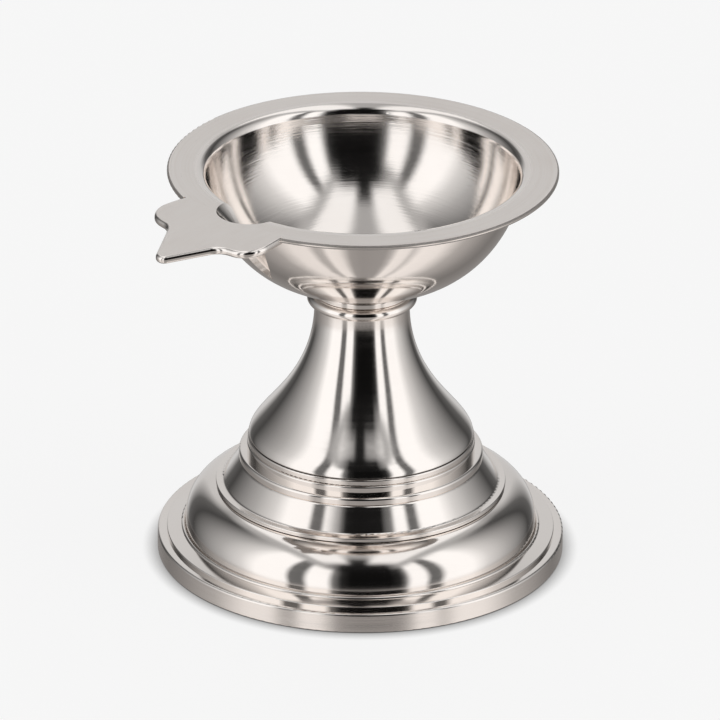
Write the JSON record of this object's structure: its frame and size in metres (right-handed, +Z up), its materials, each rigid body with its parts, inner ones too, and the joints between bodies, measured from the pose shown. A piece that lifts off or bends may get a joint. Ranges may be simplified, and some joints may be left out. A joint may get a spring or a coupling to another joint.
{
  "type": "aarti lamp",
  "caption": "Pedestal aarti lamp in polished silver-coloured metal: deep bowl with a broad flat rim and a pointed wick lip, on a bell stem and a stepped round base. The bowl unscrews.",
  "frame": {"origin": "on the lamp's axis, at the floor it stands on", "axes": "+Z up along the lamp's axis, wick lip towards -Y, +X to the right when the lip points at the viewer"},
  "size_m": [0.079, 0.0935, 0.08],
  "materials": {
    "polished_silver": "mirror polished, with fine spinning lines in the bowl",
    "brushed_rim": "polished flange and ledge, finely brushed band",
    "plain_steel": "plain machined steel",
    "bush_brass": "plain machined brass"
  },
  "bodies": {
    "stand": {"foot_ring": "brushed_rim", "bottom_plate": "plain_steel", "base_dome": "polished_silver", "base_step": "polished_silver", "stem_ring": "polished_silver", "stem": "polished_silver", "neck_bush": "bush_brass", "tie_rod": "plain_steel", "clamp_plate": "plain_steel", "lock_washer": "plain_steel", "rod_nut": "plain_steel"},
    "collar": {"neck_collar": "polished_silver"},
    "bowl": {"bowl": "polished_silver", "wick_lip": "polished_silver", "wick_trough": "polished_silver", "bowl_foot": "polished_silver", "bowl_stud": "plain_steel"}
  },
  "joints": [
    {"name": "bowl_turn", "type": "hinge", "parent": "stand", "child": "collar", "pos_m": [0, 0, 0.052], "axis": [0, 0, 1], "range_deg": [0, 2160]},
    {"name": "bowl_lift", "type": "slide", "parent": "collar", "child": "bowl", "axis": [0, 0, 1], "range_m": [0, 0.0075]}
  ],
  "couplings": [
    {"joint": "bowl_lift", "follows": "bowl_turn", "m_per_rad": 0.00019894}
  ]
}
